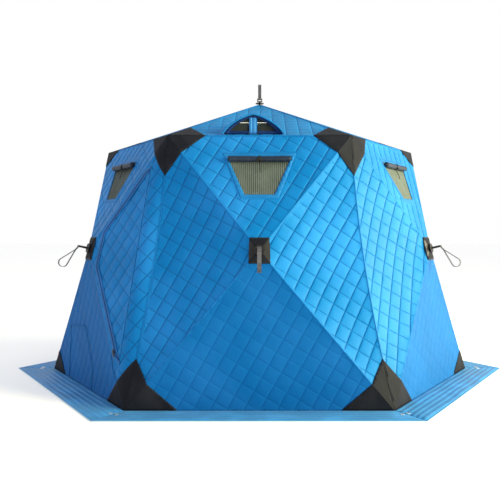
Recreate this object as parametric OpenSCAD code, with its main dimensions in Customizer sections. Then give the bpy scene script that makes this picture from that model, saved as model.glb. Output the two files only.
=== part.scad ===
// Six-sided pop-up hub shelter for ice fishing.
// Every wall and the roof is a fabric pyramid, pushed out by poles that meet in a sprung-out hub.
// Origin: centre of the ground footprint. +Z is up, the front wall faces -Y.

/* [Shelter] */
// Length of each bottom edge, corner to corner
base_side = 1300; // [1200:10:1400]
// Length of each eave edge, corner to corner
eave_side = 950; // [900:10:1000]
// Height of the eave corners above the ground
eave_height = 1360; // [1300:10:1420]
// Height of the roof fabric at its peak
apex_height = 1665; // [1640:5:1700]
// How far a wall's hub stands out of the flat wall
wall_bulge = 140; // [130:5:150]
// Height of a wall's hub, as a share of the wall's slant height
hub_share = 0.545; // [0.53:0.005:0.56]
// How far a corner seam curves in at half height
seam_sag = 55; // [40:5:60]

/* [Fabric] */
// Thickness of the quilted fabric
fabric_t = 5; // [4:1:6]
// Width of the snow skirt on the ground
skirt_w = 200; // [180:10:250]
// Thickness of the snow skirt
skirt_t = 3; // [2:0.5:4]
// Thickness of a corner boot's patch
boot_t = 3; // [2:0.5:4]
// Opening left in the fabric round a wall hub, along each pole line
hub_clear = 90; // [88:1:94]
// Opening left in the fabric round the roof hub, down each facet
roof_clear = 100; // [95:1:110]

/* [Poles and hubs] */
// Diameter of the fibreglass rods
rod_d = 11; // [9:0.5:12]
// Diameter of the moulded pole tips
tip_d = 15; // [13:1:16]
// Diameter of the socket that a rod is glued into
socket_d = 17; // [15:1:18]
// Diameter of a hub's pivot pins
pin_d = 5; // [4:0.5:6]
// Radius of a wall hub
hub_r = 46; // [44:1:48]
// Radius of the roof hub
roof_hub_r = 58; // [56:1:62]
// Width of the pull-strap webbing
strap_w = 20; // [16:1:21]
// Length of a wall hub's pull strap
strap_len = 150; // [120:5:170]

/* [Windows] */
// Width of a window at its top edge
window_top_w = 330; // [280:10:340]
// Width of a window at its bottom edge
window_low_w = 150; // [120:10:160]
// Height of a window
window_h = 220; // [180:10:230]
// Distance from the eave down to a window
window_drop = 125; // [115:5:140]

/* [Roof vent] */
// Width of the vent hood's mouth
vent_w = 320; // [280:10:340]
// Height of the vent hood's mouth
vent_h = 105; // [90:5:115]
// How far the hood runs back over the roof
vent_run = 330; // [280:10:340]
// Sideways place of the vent on the front eave
vent_x = -33; // [-60:1:0]

/* [Door] */
// Width of the frame of fabric that stays round the door
door_frame = 34; // [30:1:40]
// Room between the door and its frame
door_gap = 3; // [2:0.5:4]
// Where the door's hinge runs across its facet, as a share of the way from the corner seam to the hub
door_fold = 0.18; // [0.18:0.01:0.22]

/* [Hidden] */
$fn = 48;

WALLS = ["front", "front_right", "rear_right", "rear", "rear_left", "front_left"];
CORNERS = ["top_left", "top_right", "base_left", "base_right"];
door_wall = 5;
vent_roof = 0;

// The flat wall, before its hub is pushed out
base_in = base_side * cos(30);
eave_in = eave_side * cos(30);
wall_tilt = atan((base_in - eave_in) / eave_height);
slant = norm([base_in - eave_in, eave_height]);
hub_y = slant * hub_share;
top_fold = atan(wall_bulge / (slant - hub_y));

// The roof
rise = apex_height - eave_height;
roof_slope = atan(rise / eave_in);
roof_slant = norm([rise, eave_in]);

// Seams and small clearances
seam_gap = 0.8;
mitre = 0.45;
lift = 0.8;
run_clear = 0.05;

// Hubs: disc with a slot and a cross pin for each pole
pivot_r = 32;
pivot_deep = 28;
roof_pivot_r = 44;
roof_pivot_deep = 43.5;
disc_t = 28;
slot_w = 8.6;
tongue_w = 8;
pin_len = 24;
washer_r = 26;
stem_out = 40;
roof_stem_out = 16;
fork_in = 22;
eye_up = 18;
eye_r = 3;
patch_reach = 82;
patch_cut = 67.5;

// Pole ends
pocket_in = 90;
roof_pocket_r = eave_side - 80;
socket_len = 46;
tip_len = 50;

// Pull straps, in line with the hub's own axis before they droop
strap_droop = 45 + wall_tilt;
web_t = 2.2;
roof_strap_len = 92;

// Reach of the corner boots from the corner, along each crease
top_boot = [195, 215, 125, 215];
base_boot = [260, 168, 245];

BL = [-base_side / 2, 0, 0];
BR = [base_side / 2, 0, 0];
TL = [-eave_side / 2, slant, 0];
TR = [eave_side / 2, slant, 0];
HUB = [0, hub_y, wall_bulge];
WALL_CORNERS = [TL, TR, BL, BR];

// ---------- vectors ----------

function unit(v) = v / norm(v);
function vsum(v, i = 0) = i == len(v) - 1 ? v[i] : v[i] + vsum(v, i + 1);
function next(i, n) = (i + 1) % n;
function prev(i, n) = (i + n - 1) % n;

// Outward normal of a loop that runs anticlockwise as seen from outside
function loop_normal(p) = unit(vsum([for (i = [0:len(p) - 1]) cross(p[i], p[next(i, len(p))])]));

// Every edge of a loop moved in by e, in the loop's own plane
function inset(p, n, e) = [
    for (i = [0:len(p) - 1])
        let (a = cross(n, unit(p[i] - p[prev(i, len(p))])),
             c = cross(n, unit(p[next(i, len(p))] - p[i])))
            p[i] + e * (a + c) / (1 + a * c)
];

// Move that clears every one of several planes by the same distance
function mitred(ns) = let (s = vsum(ns)) s / min([for (n = ns) s * n]);

// Outline of two discs of different size with their tangents, along +X
function teardrop(r1, r2, d) = let (a = acos((r1 - r2) / d)) concat(
    [for (t = [-a : a / 12 : a + 0.01]) [d + r2 * cos(t), r2 * sin(t)]],
    [for (t = [a : (180 - a) / 4 : 360 - a + 0.01]) [r1 * cos(t), r1 * sin(t)]]
);

// ---------- places ----------

// Flat wall k: X along the wall, Y up it, Z out of it
module on_wall(k) {
    rotate([0, 0, 60 * k]) translate([0, -base_in, 0]) rotate([90 - wall_tilt, 0, 0]) children();
}

module at_hub(k) {
    on_wall(k) translate(HUB) children();
}

// Top facet of wall k: origin at the middle of the eave, Y towards the eave
module on_top_facet(k) {
    on_wall(k) translate([0, slant, 0]) rotate([-top_fold, 0, 0]) children();
}

// Roof facet k: origin at the middle of the eave, Y up the roof
module on_roof(k) {
    rotate([0, 0, 60 * k]) translate([0, -eave_in, eave_height]) rotate([roof_slope, 0, 0]) children();
}

// Plane through three points: origin a, X towards b, with c on the +Y side
module on_plane(a, b, c) {
    x = unit(b - a);
    z = unit(cross(x, c - a));
    y = cross(z, x);
    multmatrix([[x.x, y.x, z.x, a.x], [x.y, y.y, z.y, a.y], [x.z, y.z, z.z, a.z], [0, 0, 0, 1]])
        children();
}

// ---------- fabric ----------

// Piece of fabric on a loop of points, fanned from the first, with tapered edges on its inside
module sheet(p, t = fabric_t) {
    m = len(p);
    n = loop_normal(p);
    outer = inset(p, n, seam_gap);
    inner = [for (q = inset(p, n, seam_gap + mitre * t)) q - t * n];
    polyhedron(
        points = concat(outer, inner),
        faces = concat(
            [for (i = [1:m - 2]) [0, i + 1, i]],
            [for (i = [1:m - 2]) [m, m + i, m + i + 1]],
            [for (i = [0:m - 1]) [i, next(i, m), m + next(i, m)]],
            [for (i = [0:m - 1]) [i, m + next(i, m), m + i]]
        )
    );
}

// Patch on top of several facets that meet at c, fanned round a ring of points
module patch(c, ring, closed) {
    m = len(ring);
    last = closed ? m - 1 : m - 2;
    ns = [for (i = [0:last]) unit(cross(ring[i] - c, ring[next(i, m)] - c))];
    at_ring = [for (i = [0:m - 1])
        closed ? mitred([ns[prev(i, m)], ns[i]])
        : i == 0 ? ns[0]
        : i == m - 1 ? ns[last]
        : mitred([ns[i - 1], ns[i]])];
    ups = concat([mitred(ns)], at_ring);
    base = concat([c], ring);
    outer = [for (i = [0:m]) base[i] + (lift + boot_t) * ups[i]];
    inner = [for (i = [0:m]) base[i] + lift * ups[i]];
    rim = closed
        ? [for (i = [1:m]) [i, 1 + next(i - 1, m)]]
        : concat([[0, 1], [m, 0]], [for (i = [1:m - 1]) [i, i + 1]]);
    polyhedron(
        points = concat(outer, inner),
        faces = concat(
            [for (i = [0:last]) [0, 1 + next(i, m), 1 + i]],
            [for (i = [0:last]) [m + 1, m + 2 + i, m + 2 + next(i, m)]],
            [for (e = rim) [e[0], e[1], m + 1 + e[1]]],
            [for (e = rim) [e[0], m + 1 + e[1], m + 1 + e[0]]]
        )
    );
}

// Point on a pole line, a distance from the hub
function on_pole(corner, d) = HUB + d * unit(corner - HUB);

// Point on the sagging corner seam, at a share of its height; side is -1 or 1
function seam_mid(side) = (side > 0 ? (BR + TR) : (BL + TL)) / 2
    + seam_sag * [-side * sin(30), cos(30) * sin(wall_tilt), -cos(30) * cos(wall_tilt)];
function seam_point(side, share) = let (low = side > 0 ? BR : BL, high = side > 0 ? TR : TL)
    share < 0.5 ? low + 2 * share * (seam_mid(side) - low)
    : seam_mid(side) + (2 * share - 1) * (high - seam_mid(side));

// Side facet of a wall, as a loop fanned from the middle of its seam
function side_loop(side, clear = hub_clear) = side > 0
    ? [seam_mid(1), TR, on_pole(TR, clear), on_pole(BR, clear), BR]
    : [seam_mid(-1), BL, on_pole(BL, clear), on_pole(TL, clear), TL];

module window_outline(in = 0) {
    slope = (window_top_w - window_low_w) / 2 / window_h;
    polygon([
        [-window_top_w / 2 + in * (1 + slope), -window_drop - in],
        [-window_low_w / 2 + in, -window_drop - window_h + in],
        [window_low_w / 2 - in, -window_drop - window_h + in],
        [window_top_w / 2 - in * (1 + slope), -window_drop - in]
    ]);
}

module window_panels() {
    color("#1f78c8") for (k = [0:5]) difference() {
        on_wall(k) sheet([on_pole(TL, hub_clear), on_pole(TR, hub_clear), TR, TL]);
        on_top_facet(k) translate([0, 0, -2 * fabric_t]) linear_extrude(4 * fabric_t) window_outline();
    }
}

module side_panels() {
    color("#2f8ad8") {
        for (k = [0:5], side = [-1, 1])
            if (k != door_wall || side < 0) on_wall(k) sheet(side_loop(side));
        for (edge = [[TR, FOLD_HIGH], [FOLD_HIGH, FOLD_LOW], [FOLD_LOW, BR]])
            on_wall(door_wall) sheet([seam_mid(1), edge[0], edge[1]]);
    }
}

module base_panels() {
    color("#1a62b8") for (k = [0:5])
        on_wall(k) sheet([BL, BR, on_pole(BR, hub_clear), on_pole(BL, hub_clear)]);
}

// One roof facet, cut back below the peak
function roof_loop(clear) = let (w = eave_side / 2 * clear / roof_slant)
    [[-eave_side / 2, 0, 0], [eave_side / 2, 0, 0], [w, roof_slant - clear, 0], [-w, roof_slant - clear, 0]];

module roof_panels() {
    color("#1f78c8") for (k = [1:5]) on_roof(k) sheet(roof_loop(roof_clear));
}

module window_panes() {
    pane_t = 2;
    color("#6b746a") for (k = [0:5])
        on_top_facet(k) translate([0, 0, -pane_t - 2]) linear_extrude(pane_t) window_outline(0.6);
}

// Rolled-up window cover, held by a tie round its middle
module window_rolls() {
    roll_r = 13;
    tie_w = 14;
    roll_len = window_top_w - 44;
    color("#16294a") for (k = [0:5])
        on_top_facet(k) translate([0, -window_drop - 17, roll_r]) rotate([0, 90, 0]) union() {
            cylinder(r = roll_r, h = roll_len, center = true);
            cylinder(r = roll_r + 1.5, h = tie_w, center = true);
        }
}

module snow_skirt() {
    mitre_gap = 0.8;
    inner = base_in + 1.5;
    outer = base_in + skirt_w;
    color("#1f78c8") for (k = [0:5]) difference() {
        rotate([0, 0, 60 * k]) linear_extrude(skirt_t) polygon([
            [-inner * tan(30) + mitre_gap, -inner],
            [-outer * tan(30) + mitre_gap, -outer],
            [outer * tan(30) - mitre_gap, -outer],
            [inner * tan(30) - mitre_gap, -inner]
        ]);
        at_eyelets() translate([0, 0, -1]) cylinder(r = eyelet_barrel_r + 0.1, h = skirt_t + 2);
    }
}

// Two eyelets beside each mitre of the skirt
eyelet_reach = base_side + 76;
eyelet_off = 18;
eyelet_bore_r = 5.5;
eyelet_barrel_r = 7.5;
eyelet_rim_r = 11;
eyelet_t = 4.5;

module at_eyelets() {
    for (k = [0:5], s = [-1, 1])
        rotate([0, 0, 60 * k]) translate([eyelet_reach, s * eyelet_off, 0]) children();
}

module skirt_eyelets() {
    color("#c9b37a") at_eyelets() difference() {
        union() {
            cylinder(r = eyelet_barrel_r, h = eyelet_t);
            translate([0, 0, skirt_t + 0.1]) cylinder(r = eyelet_rim_r, h = eyelet_t - skirt_t - 0.1);
        }
        translate([0, 0, -1]) cylinder(r = eyelet_bore_r, h = eyelet_t + 2);
    }
}

// Points of wall k, in the shelter's frame
function from_wall(k, p) = let (
    y = -base_in + p.y * sin(wall_tilt) - p.z * cos(wall_tilt),
    z = p.y * cos(wall_tilt) + p.z * sin(wall_tilt),
    c = cos(60 * k), s = sin(60 * k)
) [c * p.x - s * y, s * p.x + c * y, z];

// Corner k lies between wall k, on its right, and wall k + 1
module top_corner_boots() {
    color("#1c1d20") for (k = [0:5]) {
        c = from_wall(k, TR);
        ridge = c + top_boot[1] * unit([0, 0, apex_height] - c);
        patch(c, [
            ridge,
            from_wall(k, TR + top_boot[0] * unit(TL - TR)),
            from_wall(k, TR + top_boot[2] * unit(HUB - TR)),
            from_wall(k, TR + top_boot[3] * unit(seam_mid(1) - TR)),
            from_wall(k + 1, TL + top_boot[2] * unit(HUB - TL)),
            from_wall(k + 1, TL + top_boot[0] * unit(TR - TL))
        ], true);
    }
}

module base_corner_boots() {
    color("#1c1d20") for (k = [0:5]) difference() {
        patch(from_wall(k, BR), [
            from_wall(k + 1, BL + base_boot[0] * unit(BR - BL)),
            from_wall(k + 1, BL + base_boot[1] * unit(HUB - BL)),
            from_wall(k, BR + base_boot[2] * unit(seam_mid(1) - BR)),
            from_wall(k, BR + base_boot[1] * unit(HUB - BR)),
            from_wall(k, BR + base_boot[0] * unit(BL - BR))
        ], false);
        translate([0, 0, -50]) cylinder(r = 2 * base_side, h = 50 + skirt_t + 1);
    }
}

// ---------- frame ----------

// Pole on its pivot at the origin, along +X; its pivot pin lies along Y
module pole(length) {
    tongue_h = 14;
    rod_from = 20 + socket_len;
    color("#2a2b2e") difference() {
        union() {
            translate([0, tongue_w / 2, 0]) rotate([90, 0, 0]) cylinder(d = tongue_h, h = tongue_w);
            translate([0, -tongue_w / 2, -tongue_h / 2]) cube([24, tongue_w, tongue_h]);
            translate([20, 0, 0]) rotate([0, 90, 0]) cylinder(d = socket_d, h = socket_len);
        }
        rotate([90, 0, 0]) cylinder(d = pin_d + 2 * run_clear, h = 2 * tongue_w, center = true);
    }
    color("#d8d8d4") translate([rod_from, 0, 0]) rotate([0, 90, 0])
        cylinder(d = rod_d, h = length - rod_from - tip_len);
    color("#2a2b2e") {
        translate([length - tip_len, 0, 0]) rotate([0, 90, 0]) cylinder(d = tip_d, h = tip_len - tip_d / 2);
        translate([length - tip_d / 2, 0, 0]) sphere(d = tip_d);
    }
}

// Direction of a pole in the flat wall, seen from the hub
function pole_azimuth(corner) = atan2(corner.y - hub_y, corner.x);

module wall_pole(k, c) {
    corner = WALL_CORNERS[c];
    reach = norm([corner.x, corner.y - hub_y]) - pocket_in - pivot_r;
    length = norm([reach, wall_bulge]);
    at_hub(k) rotate([0, 0, pole_azimuth(corner)]) translate([pivot_r, 0, -pivot_deep])
        rotate([0, asin(wall_bulge / length), 0]) pole(length);
}

module roof_pole(k) {
    length = norm([roof_pocket_r - roof_pivot_r, rise]);
    translate([0, 0, apex_height - roof_pivot_deep]) rotate([0, 0, 60 * k]) translate([roof_pivot_r, 0, 0])
        rotate([0, asin(rise / length), 0]) pole(length);
}

// Hub on its own axis: +Z points out of the fabric, azimuths are those of its poles
module hub(azimuths, r, pr, deep, out) {
    top = disc_t / 2 - deep;
    color("#26272a") difference() {
        translate([0, 0, -deep - disc_t / 2]) cylinder(r = r, h = disc_t);
        for (a = azimuths) rotate([0, 0, a]) {
            translate([pr - 16, -slot_w / 2, -deep - disc_t]) cube([r, slot_w, 2 * disc_t]);
            translate([pr, 0, -deep]) rotate([90, 0, 0])
                cylinder(d = pin_d + 2 * run_clear, h = pin_len, center = true);
        }
    }
    color("#b9bcc0") for (a = azimuths) rotate([0, 0, a]) translate([pr, 0, -deep]) rotate([90, 0, 0])
        cylinder(d = pin_d, h = pin_len - 0.6, center = true);
    color("#26272a") union() {
        translate([0, 0, top]) cylinder(r = 7, h = 6 - top);
        translate([0, 0, 5]) cylinder(r = washer_r, h = 4);
        translate([0, 0, 9]) cylinder(r1 = 12, r2 = 6, h = 5);
        translate([0, 0, 9]) cylinder(r = 6, h = out - 8);
        translate([-fork_in / 2 - 5, -5, out]) cube([fork_in + 10, 10, 6]);
        for (s = [-1, 1]) translate([s * (fork_in / 2 + 2.5), 0, out]) {
            translate([-2.5, -5, 0]) cube([5, 10, eye_up]);
            translate([-2.5, 0, eye_up]) rotate([0, 90, 0]) cylinder(r = 5, h = 5);
        }
        translate([-fork_in / 2 - 1, 0, out + eye_up]) rotate([0, 90, 0]) cylinder(r = eye_r, h = fork_in + 2);
    }
}

// Black patch of heavy fabric that closes the opening round the hub, held on its spindle.
// Its corners are cut off, so that the pole sockets clear it when the wall is pushed in.
module hub_patch() {
    corners = [TL, BL, BR, TR];
    tips = [for (c = corners) on_pole(c, patch_reach) - HUB];
    ring = [for (i = [0:3]) let (across = tips[next(i, 4)] - tips[i])
        each [on_pole(corners[i], patch_cut) - HUB, tips[i] + 0.18 * across, tips[i] + 0.82 * across]];
    color("#1c1d20") difference() {
        patch([0, 0, 0], ring, true);
        translate([0, 0, -20]) cylinder(r = 7.3, h = 40);
    }
}

module wall_hub(k) {
    at_hub(k) {
        hub([for (c = WALL_CORNERS) pole_azimuth(c)], hub_r, pivot_r, pivot_deep, stem_out);
        hub_patch();
    }
}

module hub_roof() {
    translate([0, 0, apex_height])
        hub([for (k = [0:5]) 60 * k], roof_hub_r, roof_pivot_r, roof_pivot_deep, roof_stem_out);
}

// Webbing loop on the fork's bar at the origin, along +X, with its bar along Y
module pull_strap(length) {
    sleeve_r = eye_r + 0.4;
    far_r = length / 6;
    neck = 0.2 * length;
    color("#23242c") rotate([90, 0, 0]) linear_extrude(strap_w, center = true) union() {
        difference() {
            circle(r = sleeve_r + web_t);
            circle(r = sleeve_r);
        }
        translate([sleeve_r + 1, -web_t]) square([neck, 2 * web_t]);
        translate([neck, 0]) difference() {
            polygon(teardrop(web_t, far_r, length - neck - far_r));
            polygon(teardrop(0.2, far_r - web_t, length - neck - far_r));
        }
    }
}

module wall_strap(k) {
    at_hub(k) translate([0, 0, stem_out + eye_up]) rotate([strap_droop, 0, 0]) rotate([0, 0, 90])
        rotate([0, -90, 0]) pull_strap(strap_len);
}

module pull_strap_roof() {
    translate([0, 0, apex_height + roof_stem_out + eye_up]) rotate([0, 0, 90]) rotate([0, -90, 0])
        pull_strap(roof_strap_len);
}

// ---------- roof vent ----------

vent_back = 140;
vent_hinge = 12;
hood_t = 3;
hood_steps = 24;
prop_w = 40;
prop_t = 3;
prop_axle_r = 3;

module vent_panel() {
    hole_w = 0.55 * vent_w;
    hole_run = 0.4 * vent_run;
    color("#1f78c8") on_roof(vent_roof) difference() {
        intersection() {
            sheet(roof_loop(vent_back));
            translate([-eave_side, vent_hinge, -eave_side]) cube(2 * eave_side);
        }
        translate([vent_x - hole_w / 2, 60, -2 * fabric_t]) cube([hole_w, hole_run, 4 * fabric_t]);
    }
}

// Upright arch at the mouth, drawn in to a point on the roof behind it
function arch(r, h, i) = let (a = 180 * i / hood_steps)
    [vent_x + r * cos(a), vent_hinge + 6 + h * sin(a) * sin(roof_slope), 1 + h * sin(a) * cos(roof_slope)];

module vent_hood() {
    m = hood_steps + 1;
    outer = [for (i = [0:hood_steps]) arch(vent_w / 2, vent_h, i)];
    inner = [for (i = [0:hood_steps]) arch(vent_w / 2 - hood_t, vent_h - hood_t, i)];
    back = [vent_x, vent_run, 1];
    back_in = [vent_x, vent_run - 3 * hood_t, 1];
    color("#2f8ad8") on_roof(vent_roof) polyhedron(
        points = concat(outer, inner, [back, back_in]),
        faces = concat(
            [for (i = [0:m - 2]) [i, i + 1, 2 * m]],
            [for (i = [0:m - 2]) [m + i, 2 * m + 1, m + i + 1]],
            [for (i = [0:m - 2]) [i, m + i, m + i + 1]],
            [for (i = [0:m - 2]) [i, m + i + 1, i + 1]],
            [[0, 2 * m, 2 * m + 1], [0, 2 * m + 1, m]],
            [[m - 1, 2 * m - 1, 2 * m + 1], [m - 1, 2 * m + 1, 2 * m]]
        )
    );
    color("#26272a") on_roof(vent_roof) translate([vent_x, vent_hinge + 22, 6]) rotate([0, 90, 0]) union() {
        cylinder(r = prop_axle_r, h = prop_w + 16, center = true);
        for (s = [-1, 1]) translate([0, 0, s * (prop_w / 2 + 5)]) {
            cylinder(r = 5, h = 6, center = true);
            translate([0, -5, -3]) cube([5, 10, 6]);
        }
    }
}

// Stiffened strap that holds the mouth open
module vent_prop() {
    sleeve_r = prop_axle_r + 0.3;
    prop_h = vent_h - 24;
    color("#2f8ad8") on_roof(vent_roof) translate([vent_x, vent_hinge + 22, 6]) rotate([0, 90, 0])
        linear_extrude(prop_w, center = true) difference() {
            union() {
                circle(r = sleeve_r + 2);
                rotate(180 - roof_slope) translate([0, -prop_t / 2]) square([prop_h, prop_t]);
            }
            circle(r = sleeve_r);
        }
}

// ---------- door ----------

// The door and its surround fold in with the hub on a line that runs beside the corner seam
FOLD_LOW = BR + door_fold * (HUB - BR);
FOLD_HIGH = TR + door_fold * (HUB - TR);
fold_len = norm(FOLD_HIGH - FOLD_LOW);
door_hinge = 5;
surround_clear = hub_clear + 40;
door_clear = 150;

// Place in the door's own plane: X up the fold line, Y towards the hub
function door_plane(p) = let (
    x = unit(FOLD_HIGH - FOLD_LOW),
    z = unit(cross(x, HUB - FOLD_LOW)),
    q = p - FOLD_LOW
) [q * x, q * cross(z, x)];
door_hub = door_plane(HUB);
door_low_dir = unit(door_hub - door_plane(BR));
door_high_dir = unit(door_hub - door_plane(TR));

// Outline whose pole-side edges run door_frame inside the pole lines
function door_loop() = let (
    low_in = [door_low_dir.y, -door_low_dir.x] * door_frame,
    high_in = [-door_high_dir.y, door_high_dir.x] * door_frame
) [
    [90, door_hinge],
    [fold_len - 70, door_hinge],
    [fold_len, 0] + 80 * door_high_dir + high_in,
    door_hub - door_clear * door_high_dir + high_in,
    door_hub - door_clear * door_low_dir + low_in,
    110 * door_low_dir + low_in
];

module on_door() {
    on_wall(door_wall) on_plane(FOLD_LOW, FOLD_HIGH, HUB) children();
}

module door_flap() {
    color("#2f8ad8") on_door() translate([0, 0, -fabric_t]) linear_extrude(fabric_t) polygon(door_loop());
}

module door_surround() {
    color("#1f78c8") difference() {
        on_wall(door_wall)
            sheet([FOLD_LOW, FOLD_HIGH, on_pole(TR, surround_clear), on_pole(BR, surround_clear)]);
        on_door() translate([0, 0, -60]) linear_extrude(120) offset(delta = door_gap) polygon(door_loop());
        on_door() translate([-50, -100, -60]) cube([fold_len + 100, 100 + door_hinge, 120]);
    }
}

// Slider parked near the bottom of the zip, on the surround's side of the gap
module zip_slider() {
    loop = door_loop();
    along = unit(loop[4] - loop[5]);
    away = [-along.y, along.x];
    at = loop[5] + 30 * along + (9 + door_gap) * away;
    color("#26272a") on_door() translate([at.x, at.y, 1.5]) rotate([0, 0, atan2(along.y, along.x)]) union() {
        translate([-11, -5, 0]) cube([22, 10, 5]);
        translate([-3, -2, 5]) cube([6, 4, 5]);
        translate([-34, -4, 7]) cube([36, 8, 2.5]);
    }
}

// ---------- assembly ----------

for (k = [0:5]) {
    for (c = [0:3]) wall_pole(k, c);
    roof_pole(k);
    wall_hub(k);
    wall_strap(k);
}
hub_roof();
pull_strap_roof();
window_panels();
side_panels();
base_panels();
roof_panels();
vent_panel();
vent_hood();
vent_prop();
door_surround();
door_flap();
zip_slider();
snow_skirt();
skirt_eyelets();
top_corner_boots();
base_corner_boots();
window_panes();
window_rolls();
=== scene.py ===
"""Looks of a six-sided pop-up ice fishing shelter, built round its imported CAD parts."""
import math

import bmesh
import bpy
import numpy as np
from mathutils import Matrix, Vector


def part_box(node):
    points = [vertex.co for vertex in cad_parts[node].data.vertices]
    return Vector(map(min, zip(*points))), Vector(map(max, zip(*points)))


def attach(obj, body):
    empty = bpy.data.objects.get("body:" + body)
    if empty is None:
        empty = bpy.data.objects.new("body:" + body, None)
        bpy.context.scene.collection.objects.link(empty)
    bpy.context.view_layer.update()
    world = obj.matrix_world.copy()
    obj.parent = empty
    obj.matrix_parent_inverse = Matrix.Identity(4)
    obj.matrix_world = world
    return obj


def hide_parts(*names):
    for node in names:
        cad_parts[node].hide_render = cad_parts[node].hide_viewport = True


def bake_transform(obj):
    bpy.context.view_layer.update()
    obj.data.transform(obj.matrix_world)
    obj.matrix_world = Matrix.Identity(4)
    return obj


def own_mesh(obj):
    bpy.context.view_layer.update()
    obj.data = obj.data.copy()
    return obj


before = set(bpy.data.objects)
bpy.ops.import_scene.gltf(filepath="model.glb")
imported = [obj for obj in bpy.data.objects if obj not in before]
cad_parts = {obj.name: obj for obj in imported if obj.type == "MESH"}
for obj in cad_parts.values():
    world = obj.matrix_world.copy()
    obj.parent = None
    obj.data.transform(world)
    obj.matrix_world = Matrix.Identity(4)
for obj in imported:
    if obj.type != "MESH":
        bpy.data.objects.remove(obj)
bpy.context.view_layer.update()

# ---------- sizes, in metres, as in the CAD source ----------

BASE, EAVE, HIGH, APEX = 1.3, 0.95, 1.36, 1.665
BULGE, SHARE, SAG, FOLD = 0.14, 0.545, 0.055, 0.18
BASE_IN, EAVE_IN = BASE * math.cos(math.radians(30)), EAVE * math.cos(math.radians(30))
TILT = math.atan2(BASE_IN - EAVE_IN, HIGH)
SLANT = math.hypot(BASE_IN - EAVE_IN, HIGH)
ROOF_SLOPE = math.atan2(APEX - HIGH, EAVE_IN)
ROOF_SLANT = math.hypot(APEX - HIGH, EAVE_IN)
ROOF_SIN, ROOF_COS = math.sin(ROOF_SLOPE), math.cos(ROOF_SLOPE)
RIDGE = math.hypot(EAVE / 2, ROOF_SLANT)
SEAM = math.hypot((BASE - EAVE) / 2, SLANT)
SKIRT, EYELET_REACH, EYELET_OFF = 0.2, 1.376, 0.018
WINDOW_DROP, WINDOW_HIGH, WINDOW_TOP, WINDOW_LOW = 0.125, 0.22, 0.33, 0.15
VENT_X, VENT_W, VENT_H, VENT_RUN = -0.033, 0.32, 0.105, 0.33
PATCH, HUB_HOLE_R, PEAK_HOLE = 0.084, 0.01, 0.014
PIVOT_Y, PIVOT_Z, PROP_H = 0.034, 0.006, 0.081
SOCKET_END, TIP_END = 0.071, 0.046

# Reach of the corner boots along the eave or hem, along the pole and along the corner seam
BOOTS = {"top": (0.195, 0.125, 0.215), "base": (0.26, 0.168, 0.245)}
RIDGE_BOOT = 0.215

# Rolled covers: radius and half length of each turn that shows, and where the roll lies
ROLL_TURNS = ((0.0135, 0.156), (0.0092, 0.1595), (0.0048, 0.162))
ROLL_RINGS, ROLL_SIDES, ROLL_OUT = 61, 22, 0.0142

WALLS = ("front", "front_right", "rear_right", "rear", "rear_left", "front_left")
DOOR = 5

# Wall corners on the flat wall, anticlockwise from the bottom left, and the hub
OUTLINE = np.array([(-BASE / 2, 0), (BASE / 2, 0), (EAVE / 2, SLANT), (-EAVE / 2, SLANT)])
HUB = np.array((0.0, SLANT * SHARE))
BASE_FACET, RIGHT_FACET, TOP_FACET, LEFT_FACET = range(4)
EDGE = np.roll(OUTLINE, -1, axis=0) - OUTLINE
INWARD = np.stack([-EDGE[:, 1], EDGE[:, 0]], 1) / np.linalg.norm(EDGE, axis=1)[:, None]
HUB_OFF = ((HUB - OUTLINE) * INWARD).sum(1)

# Quilting: square cells, with the deeper rows of stitching at this angle to the eave
CELL, TURN, DEEP = 0.07, 60, 0.006
FINE = (0, 0.035, 0.1, 0.2, 0.35, 0.5, 0.65, 0.8, 0.9, 0.965)


# ---------- shapes of the cloth ----------

def smooth(x):
    x = np.clip(x, 0, 1)
    return x * x * (3 - 2 * x)


def unit(v):
    return v / np.linalg.norm(v, axis=-1, keepdims=True)


def turned(k, x, y, z):
    """Points turned about the shelter's axis to its side k."""
    c, s = math.cos(math.radians(60 * k)), math.sin(math.radians(60 * k))
    return np.stack([c * x - s * y, s * x + c * y, z], 1)


def from_wall(k, p):
    """Points of wall k (X along it, Y up it, Z out of it) in the shelter's frame."""
    y = -BASE_IN + p[:, 1] * math.sin(TILT) - p[:, 2] * math.cos(TILT)
    return turned(k, p[:, 0], y, p[:, 1] * math.cos(TILT) + p[:, 2] * math.sin(TILT))


def from_roof(k, p):
    """Points of roof facet k (X along the eave, Y up the roof, Z out of it) in the shelter's frame."""
    y = -EAVE_IN + p[:, 1] * ROOF_COS - p[:, 2] * ROOF_SIN
    return turned(k, p[:, 0], y, HIGH + p[:, 1] * ROOF_SIN + p[:, 2] * ROOF_COS)


def on_wall(xy):
    """Facet, share of the way from its outer edge to the hub, and share along that edge."""
    off = ((xy[:, None] - OUTLINE[None]) * INWARD[None]).sum(2) / HUB_OFF
    facet = off.argmin(1)
    up = np.clip(off.min(1), 0, 1)
    foot = HUB + (xy - HUB) / np.maximum(1 - up, 1e-6)[:, None]
    along = ((foot - OUTLINE[facet]) * EDGE[facet]).sum(1) / (EDGE[facet] ** 2).sum(1)
    return facet, up, np.clip(along, 0, 1)


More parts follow.
